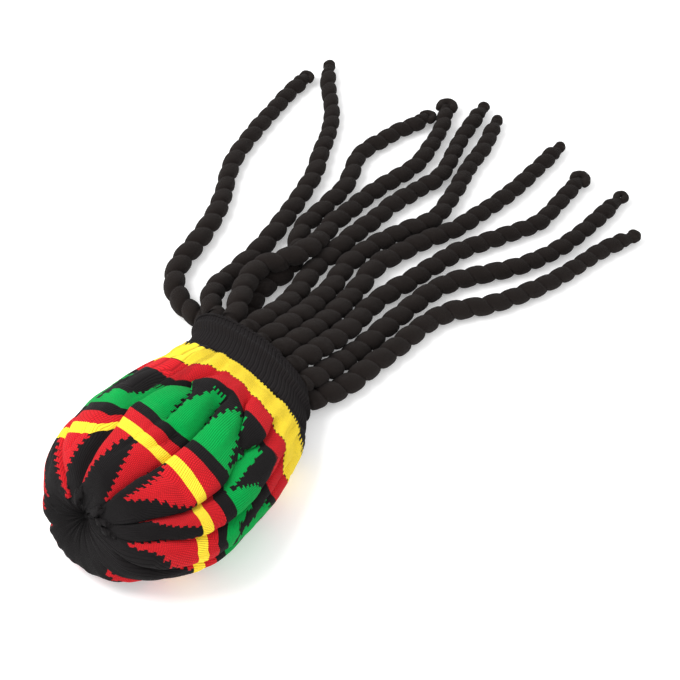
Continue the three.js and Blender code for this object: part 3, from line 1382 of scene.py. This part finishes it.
# After its line, each fold has its depth, its spread to the near and the far side, its lean and its fade
FOLDS = (
    Fold(((10, 150), (43, 136), (68, 132), (87, 135), (107, 143), (125, 150), (190, 156)), 13, 12, 17, 5),
    Fold(
        ((12, 126), (34, 119), (74, 108), (105, 108), (131, 110), (162, 113), (182, 115), (202, 118),
         (220, 117), (252, 114), (276, 107), (310, 103)),
        20, 11, 18, 8,
    ),
    Fold(
        ((10, 84), (56, 74), (95, 77), (140, 77), (170, 75), (214, 75), (242, 76), (263, 79), (300, 86)),
        21, 11, 19, 8,
    ),
    Fold(((165, 92), (184, 87), (198, 86), (222, 88)), 8, 6, 7, 4, 18.0),
    Fold(
        ((8, 62), (70, 56), (110, 54), (150, 49), (196, 48), (228, 49), (250, 50), (320, 48)),
        19, 17, 11, -8,
    ),
    Fold(((8, 44), (74, 34), (107, 34), (136, 27), (174, 25), (224, 22), (300, 24)), 16, 16, 10, -7),
    Fold(((10, 14), (51, 7), (72, 1), (102, -5), (131, -6), (230, -9)), 13, 14, 11, -5),
    Fold(((12, 322), (90, 326), (200, 322)), 8, 12, 12),
    Fold(((12, 190), (90, 186), (240, 190)), 12, 12, 14, 5),
    Fold(((12, 222), (90, 216), (210, 214)), 8, 13, 13),
    Fold(((196, 128), (250, 126), (318, 120)), 8, 9, 10, 3),
    Fold(((200, 97), (232, 96), (257, 99), (277, 102), (318, 98)), 12, 9, 13, 5, 26.0),
    Fold(((204, 50), (228, 53), (246, 57), (269, 63), (296, 71), (320, 74)), 12, 9, 12, 4, 26.0),
    Fold(((210, 146), (260, 150), (316, 152)), 8, 11, 12, 4),
    Fold(((206, 4), (260, 6), (316, 8)), 9, 12, 10, -4),
    Fold(((204, 172), (262, 176), (316, 172)), 7, 11, 11, 3),
    Fold(((206, 336), (262, 332), (316, 338)), 6, 12, 11, -3),
)

# How many repeats of the pattern have gone by at angles round the cap, at five reaches. A whole number is
# the middle of a black finger or gap. The slack folds squeeze some repeats and spread others.
PATTERN_TURNS = (
    (90.0, ((-12, 0), (-5, 0.08), (17, 0.25), (26, 0.5), (43.5, 1), (49.5, 1.12), (51, 1.5), (52.5, 1.88),
            (61, 2), (69.5, 2.5), (76.5, 3), (82, 3.5), (95, 4), (105.5, 4.5), (115, 5), (135, 5.5),
            (163, 6), (186, 7), (208, 8), (231, 9), (254, 10), (276, 11), (298, 12), (320, 12.5))),
    (160.0, ((-32, 0), (-22, 0.12), (2, 0.5), (30, 1), (34, 1.15), (39, 1.5), (44, 1.85), (47, 2),
             (60, 2.5), (76, 3), (87, 3.5), (100, 4), (110.5, 4.5), (120.5, 5), (145, 5.5), (172, 6),
             (196, 7), (217, 8), (238, 9), (259, 10), (280, 11), (299, 12), (314, 12.5))),
    (192.0, ((10, 0), (43, 1), (53, 2), (76, 3), (97, 4), (120, 5), (146, 6), (179, 7), (212, 8), (245, 9),
             (278, 10), (311, 11), (341, 12))),
    (224.0, ((12, 0), (38, 1), (54, 2), (76, 3), (97, 4), (119, 5), (123, 5.5), (131, 5.96), (150, 6.04),
             (179, 7), (212, 8), (245, 9), (278, 10), (311, 11), (342, 12))),
    (272.0, ((8, 0), (34, 1), (56, 2), (80, 3), (98, 4), (116, 5), (119, 5.5), (126, 5.96), (146, 6.04),
             (174, 7), (206, 8), (239, 9), (271, 10), (303, 11), (336, 12))),
)

# How far the courses run ahead of the sections round the cap, in millimetres, at seven reaches
COURSE_LEADS = (
    (90.0, ((-39, 15), (-10, 12), (9, 10), (27, 9), (38, -8), (45, -20), (51, -30), (58, -24), (70, -22),
            (76, -12), (82, -5), (95, 0), (105, 2), (113, 8), (125, 22), (135, 28), (158, 26), (190, 20),
            (270, 16))),
    (176.0, ((-15, 43), (12, 45), (20, 30), (30, 18), (42, 14), (48, 5), (60, -1), (78, -9), (83, -5),
             (95, -4), (110, -8), (118, -13), (125, 18), (140, 25), (160, 28), (180, 32), (270, 40))),
    (213.0, ((-15, 35), (12, 38), (20, 24), (30, 18), (42, 14), (48, -3), (60, -2), (78, -4), (83, 0),
             (95, 3), (110, 0), (118, -4), (125, 15), (140, 25), (160, 29), (180, 32), (270, 38))),
    (236.0, ((-15, 37), (12, 42), (20, 41), (30, 45), (36, 34), (42, 20), (48, 10), (55, 0), (78, -6),
             (83, -3), (95, 0), (103, 4), (113, 8), (118, 30), (125, 34), (140, 28), (160, 28), (180, 31),
             (270, 37))),
    (276.0, ((-15, 31), (12, 31), (20, 22), (30, 8), (42, 8), (48, 2), (60, -2), (74, -4), (78, -8),
             (83, -8), (90, -6), (95, -6), (103, 0), (111, 5), (118, 14), (125, 14), (140, 20), (160, 24),
             (180, 28), (270, 34))),
    (300.0, ((-15, 30), (12, 30), (20, 22), (30, 8), (42, 8), (48, 1), (60, -3), (78, -10), (83, -12),
             (95, -12), (110, 0), (118, 8), (125, 14), (140, 20), (160, 24), (180, 28), (270, 34))),
    (344.0, ((-15, 3), (12, 3), (42, 2), (48, 0), (118, 0), (140, 1), (160, 2), (180, 3), (270, 3))),
)


@dataclass(frozen=True)
class Ripple:
    """Random waves round the cap: how many to a radian, their length in millimetres, and a seed.

    Waves of endless length are the same at every reach, and their start picks which they are.
    """

    around: float
    along: float
    seed: int
    start: float = 0.0

    def at(self, turn: float, reach: float) -> float:
        """Read the waves.

        Args:
            turn: the direction round the cap, in radians.
            reach: the distance along the fabric, in millimetres.

        Returns:
            Their height there, from -1 to 1.
        """
        x, y = math.cos(turn) * self.around, math.sin(turn) * self.around
        return wander(x, y, self.start + reach / self.along, self.seed)


@dataclass(frozen=True)
class Pucker:
    """Pleats that a seam draws up, in millimetres.

    They lie within a width of their reach. Their shift is how far the ripple moves them, in radians of
    a pleat. Fine pleats, twice as many, may lie between them.
    """

    reach: float
    width: float
    pleats: float
    depth: float
    shift: float
    ripple: Ripple
    fine_depth: float = 0.0
    fine_phase: float = 0.7

    def at(self, turn: float, reach: float) -> float:
        """Read the pleats.

        Args:
            turn: the direction round the cap, in radians.
            reach: the distance from the gather, in millimetres.

        Returns:
            How deep they pull the fabric in there, in millimetres.
        """
        strength = smooth(1.0 - abs(reach - self.reach) / self.width, 0.0, 1.0)
        shift = self.shift * self.ripple.at(turn, reach)
        fine = self.fine_depth * math.cos(2.0 * self.pleats * turn + self.fine_phase)
        return strength * (self.depth * math.cos(self.pleats * turn + shift) + fine)


GATHER = Pucker(26.0, 62.0, 17.0, 1.5, 1.9, Ripple(1.7, math.inf, 3, start=0.2), fine_depth=0.9)
SEAM = Pucker(318.0, 34.0, 24.0, 1.3, 2.4, Ripple(2.0, math.inf, 5, start=1.2))


@dataclass
class Crown:
    """The slack jacquard bag, gathered to a point at one end and sewn to the cuff at the other.

    Lengths are in millimetres, apart from the cut, which is in metres.
    """

    columns: int = 320
    rows: int = 146
    wall: float = 3.0
    length: float = 344.0
    first_angle: float = 268.0
    repeats: int = 13
    lean_seen: float = 0.45
    taut: float = 0.3
    taut_to: float = 50.0
    slack_from: float = 110.0
    waves: tuple[float, Ripple] = (2.6, Ripple(2.1, 62.0, 7))
    wrinkle: tuple[float, Ripple] = (1.1, Ripple(5.5, 24.0, 11))
    line: tuple[float, Ripple] = (1.8, Ripple(2.6, 78.0, 13))
    line_sharpness: float = 5.0
    tuck: float = 2.0
    tuck_length: float = 6.0
    cut: tuple[float, float] = (0.58, 0.344)
    cut_area: float = 0.17
    known: dict[float, tuple[Section, list[Crease]]] = field(default_factory=dict)

    def row(self, w: float) -> tuple[Section, list[Crease]]:
        """Look up one row of the crown, worked out once.

        Args:
            w: its share of the way along.

        Returns:
            Its section and its creases.
        """
        if w not in self.known:
            section = between(CAP_SECTIONS, w * (len(CAP_SECTIONS) - 1))
            creases = [fold.at(section.reach) for fold in FOLDS]
            self.known[w] = section, [crease for crease in creases if crease]
        return self.known[w]

    def repeat(self, reach: float, angle: float) -> float:
        """Which repeat of the pattern is at a place, with a share of the next."""
        return read_off([(at, self.count(knots, angle)) for at, knots in PATTERN_TURNS], reach)

    def count(self, knots: Sequence[tuple[float, float]], angle: float) -> float:
        """Read a table of repeats at any angle, a whole round more for each turn.

        Args:
            knots: pairs of angle and repeats gone by.
            angle: the angle to read, in degrees.

        Returns:
            The repeats gone by there.
        """
        first, start = knots[0]
        turns = math.floor((angle - first) / 360.0)
        whole = [*knots, (first + 360.0, start + self.repeats)]
        return read_off(whole, angle - 360.0 * turns) + self.repeats * turns

    def course_reach(self, reach: float, angle: float) -> float:
        """How far along the fabric's own courses a place is, in millimetres from the gather."""
        return reach + read_off([(at, read_round(knots, angle)) for at, knots in COURSE_LEADS], reach)

    def wrinkles(self, reach: float, angle: float) -> float:
        """Add up the pleats, ripples and small wrinkles.

        Args:
            reach: the distance from the gather, in millimetres.
            angle: the place round the cap, in degrees.

        Returns:
            How deep they pull the fabric in there, in millimetres.
        """
        turn = math.radians(angle)
        slack = self.taut + (1.0 - self.taut) * smooth(reach, self.taut_to, self.slack_from)
        depth = GATHER.at(turn, reach) + SEAM.at(turn, reach)
        for height, ripple in (self.waves, self.wrinkle):
            depth += slack * height * ripple.at(turn, reach)
        height, ripple = self.line
        line = max(0.0, 1.0 - abs(ripple.at(turn, reach)) * self.line_sharpness)
        return depth + slack * height * line * line

    def place(self, u: float, w: float) -> Vector:
        """Place a point of the outer side.

        Args:
            u: its share of the way round.
            w: its share of the way along.

        Returns:
            The point, in metres.
        """
        section, creases = self.row(w)
        angle = self.first_angle + 360.0 * u
        leant = angle + sum(crease.lean_over(angle) for crease in creases)
        depth = sum(crease.pull(angle) for crease in creases) + self.wrinkles(section.reach, angle)
        tuck = self.tuck * smooth(section.reach, self.length - self.tuck_length, self.length)
        return (section.point(leant, depth + tuck) + CAP_SHIFT) * MM

    def chart(self, u: float, w: float) -> tuple[float, float]:
        """Read the pattern's own coordinates.

        Args:
            u: the share of the way round.
            w: the share of the way along.

        Returns:
            The share of all repeats gone by, and of the fabric's length.
        """
        section, creases = self.row(w)
        angle = self.first_angle + 360.0 * u
        angle += self.lean_seen * sum(crease.lean_over(angle) for crease in creases)
        turns = self.repeat(section.reach, angle) / self.repeats
        return turns, self.course_reach(section.reach, angle) / self.length

    def build(self, wardrobe: Wardrobe) -> bpy.types.Object:
        """Build the crown and give it its finish.

        Args:
            wardrobe: the finishes.

        Returns:
            The crown.
        """
        bm = wrap_grid(self.columns, self.rows, self.place, self.chart)
        pole = [e for e in bm.edges if e.is_boundary and e.verts[0].co.y < 0.0]
        bmesh.ops.holes_fill(bm, edges=pole, sides=self.columns + 2)
        bmesh.ops.recalc_face_normals(bm, faces=bm.faces)
        crown = make_piece(bm, "crown_knit")
        rename_chart(crown)
        thicken(crown, self.wall)
        wardrobe.dress(crown, Slot.JACQUARD, "crown")
        return crown


def thicken(piece: bpy.types.Object, wall: float) -> None:
    """Give a skin its wall, inwards.

    Args:
        piece: the skin.
        wall: the thickness, in millimetres.
    """
    solid = piece.modifiers.new("wall", "SOLIDIFY")
    solid.thickness = wall * MM
    solid.offset = -1.0
    solid.use_even_offset = False


@dataclass(frozen=True)
class Ridge:
    """A round ridge along the band, or a groove where its height is negative, in millimetres."""

    height: float
    reach: float
    width: float

    def at(self, along: float) -> float:
        """How high it is at a reach."""
        return self.height * math.exp(-(((along - self.reach) / self.width) ** 2))


@dataclass
class Cuff:
    """The ribbed black band, with a raised welt and a soft rolled hem.

    Lengths are in millimetres, apart from the cut, which is in metres.
    """

    ribs: int = 90
    steps_per_rib: int = 7
    rows: int = 44
    wall: float = 2.6
    length: float = 44.0
    rib_depth: float = 1.15
    rib_power: float = 0.8
    proud: float = 0.2
    ridges: tuple[Ridge, ...] = (Ridge(1.5, 28.0, 3.8), Ridge(-0.6, 20.5, 3.0))
    lumps: tuple[float, Ripple] = (0.8, Ripple(2.4, 22.0, 21))
    hem_lumps: tuple[float, Ripple] = (1.6, Ripple(5.0, math.inf, 23, start=0.5))
    hem_from: float = 20.0
    tuck: float = 2.0
    tuck_depth: float = 1.1
    seam_depth: float = 0.5
    seam_length: float = 6.0
    roll: float = 5.0
    roll_ahead: float = 3.0
    roll_depth: float = 3.4
    roll_back: float = 3.0
    roll_turn: float = 0.55
    cut: tuple[float, float] = (0.39, 0.05)

    def place(self, u: float, w: float) -> Vector:
        """Place a point of the outer side.

        Args:
            u: its share of the way round.
            w: its share of the way along, from under the crown's edge to the end of the rolled hem.

        Returns:
            The point, in metres.
        """
        reach = -self.tuck + w * (self.length + self.roll + self.tuck)
        along = min(max(reach, 0.0), self.length)
        section = between(CUFF_SECTIONS, self.position(along))
        angle = 360.0 * u
        turn = math.radians(angle)
        rib = abs(math.sin(self.ribs * turn / 2.0))
        depth = self.rib_depth * (1.0 - rib**self.rib_power) - self.proud
        depth -= sum(ridge.at(along) for ridge in self.ridges)
        height, ripple = self.lumps
        depth += height * ripple.at(turn, along)
        depth += self.tuck_depth * smooth(reach, 0.0, -self.tuck)
        depth += self.seam_depth * smooth(self.seam_length - along, 0.0, self.seam_length)
        past = max(reach - self.length + self.roll_ahead, 0.0) / (self.roll + self.roll_ahead)
        depth += self.roll_depth * (1.0 - math.cos(past * math.pi / 2.0))
        point = section.point(angle, depth)
        lean = math.radians(section.lean)
        height, ripple = self.hem_lumps
        push = min(reach, 0.0) - max(0.0, past - self.roll_turn) * self.roll_back
        push += height * smooth(along, self.hem_from, self.length) * ripple.at(turn, along)
        point += Vector((0.0, math.cos(lean), -math.sin(lean))) * push
        point.z = max(point.z, 0.0)
        return (point + CAP_SHIFT) * MM

    def position(self, along: float) -> float:
        """Where a reach is in the table of sections."""
        reaches = [section.reach for section in CUFF_SECTIONS]
        return read_off(list(zip(reaches, range(len(reaches)))), along)

    def chart(self, u: float, w: float) -> tuple[float, float]:
        """Shares round the band and along it."""
        return u, w

    def build(self, wardrobe: Wardrobe) -> bpy.types.Object:
        """Build the cuff and give it its finish.

        Args:
            wardrobe: the finishes.

        Returns:
            The cuff.
        """
        bm = wrap_grid(self.ribs * self.steps_per_rib, self.rows, self.place, self.chart)
        cuff = make_piece(bm, "cuff_rib")
        rename_chart(cuff)
        thicken(cuff, self.wall)
        wardrobe.dress(cuff, Slot.RIB, "cuff")
        return cuff


def main() -> None:
    """Build every piece in order, and say so."""
    logging.basicConfig(level=logging.INFO, format="%(name)s: %(message)s")
    Viewpoint().build()
    LOG.info("camera")
    wardrobe = Wardrobe()
    for number, (rows, (end, scale)) in enumerate(zip(LOCK_ROUTES, LOCK_ENDS), start=1):
        rope = Lock(number, Route.through(rows), end, scale).build(wardrobe)
        LOG.info("%s: %d vertices", rope.name, len(rope.data.vertices))
    for piece in (Crown().build(wardrobe), Cuff().build(wardrobe)):
        LOG.info("%s: %d vertices", piece.name, len(piece.data.vertices))
    Studio().build()
    LOG.info("table and light")


if __name__ == "__main__":
    main()
